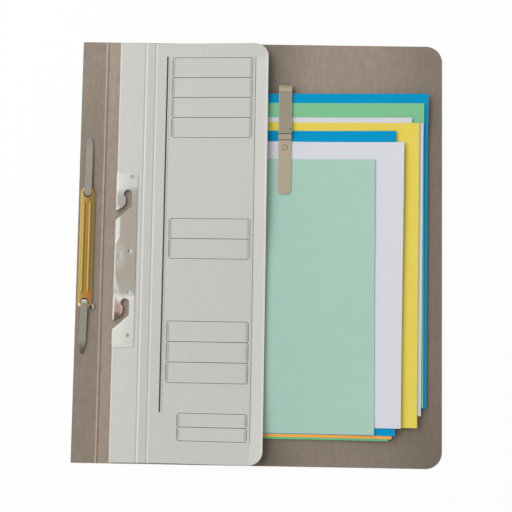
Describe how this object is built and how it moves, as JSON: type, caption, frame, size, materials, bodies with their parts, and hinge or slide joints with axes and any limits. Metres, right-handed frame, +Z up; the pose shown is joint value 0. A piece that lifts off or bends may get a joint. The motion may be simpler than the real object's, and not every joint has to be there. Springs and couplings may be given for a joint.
{
  "type": "fastener folder",
  "caption": "Card filing folder laid open: half cover, fold-out flap with a prong fastener, steel hook-in edge plate with hook slots, and a spring clip holding coloured sheets.",
  "frame": {"origin": "middle of the folder's underside, on the surface it lies on", "axes": "+X to the right across the folder, +Y up the page, +Z up from the table"},
  "size_m": [0.2676, 0.31, 0.0046],
  "materials": {
    "back_card": "uncoated grey-brown recycled card",
    "front_card": "uncoated light grey card",
    "nickel_plate": "bright nickel plating",
    "brass_strip": "brass-coloured pressed sheet",
    "prong_steel": "dull plated steel",
    "rivet_steel": "bright plated steel",
    "clip_steel": "warm satin spring steel",
    "blue_paper": "uncoated coloured paper",
    "green_paper": "uncoated coloured paper",
    "deep_green_paper": "uncoated coloured paper",
    "white_paper": "uncoated white paper",
    "yellow_paper": "uncoated coloured paper",
    "orange_paper": "uncoated coloured paper",
    "mint_paper": "uncoated coloured paper"
  },
  "bodies": {
    "back": {"back_cover": "back_card", "cover_band": "front_card", "clip_base": "clip_steel", "clip_base_rivets": "clip_steel"},
    "front": {"front_half_cover": "front_card"},
    "hook": {"hook_strip": "front_card", "hook_plate": "nickel_plate", "plate_crimps": "nickel_plate"},
    "flap": {"fastener_flap": "back_card", "fastener_base": "prong_steel", "fastener_rivets": "rivet_steel", "cover_strip": "brass_strip"},
    "upper_prong": {"prong_upper": "prong_steel"},
    "lower_prong": {"prong_lower": "prong_steel"},
    "clip": {"clip_arm": "clip_steel", "clip_rivet": "clip_steel"},
    "sheets": {"sheet_blue_back": "blue_paper", "sheet_green_back": "green_paper", "sheet_white_back": "white_paper", "sheet_white_middle": "white_paper", "sheet_yellow": "yellow_paper", "sheet_green_low": "deep_green_paper", "sheet_orange": "orange_paper", "sheet_blue_front": "blue_paper", "sheet_white_front": "white_paper", "sheet_mint": "mint_paper"}
  },
  "joints": [
    {"name": "cover_open", "type": "hinge", "parent": "back", "child": "front", "pos_m": [-0.07905, 0, 0.001], "axis": [0, 1, 0], "range_deg": [-145, 0]},
    {"name": "flap_fold", "type": "hinge", "parent": "back", "child": "flap", "pos_m": [-0.11525, 0, 0.0005], "axis": [0, -1, 0], "range_deg": [-150, 0]},
    {"name": "hook_lift", "type": "hinge", "parent": "back", "child": "hook", "pos_m": [-0.08655, 0, 0.001], "axis": [0, 1, 0], "range_deg": [0, 45]},
    {"name": "prong_upper_bend", "type": "hinge", "parent": "flap", "child": "upper_prong", "pos_m": [-0.12705, 0.041, 0.0021], "axis": [1, 0, 0], "range_deg": [0, 90]},
    {"name": "prong_lower_bend", "type": "hinge", "parent": "flap", "child": "lower_prong", "pos_m": [-0.12705, -0.039, 0.0021], "axis": [-1, 0, 0], "range_deg": [0, 90]},
    {"name": "clip_lift", "type": "hinge", "parent": "back", "child": "clip", "pos_m": [0.0179, 0.12185, 0.00235], "axis": [-1, 0, 0], "range_deg": [0, 8], "stiffness_Nm_per_rad": 1.5},
    {"name": "sheets_slide", "type": "slide", "parent": "back", "child": "sheets", "axis": [0, -1, 0], "range_m": [0, 0.08]}
  ]
}
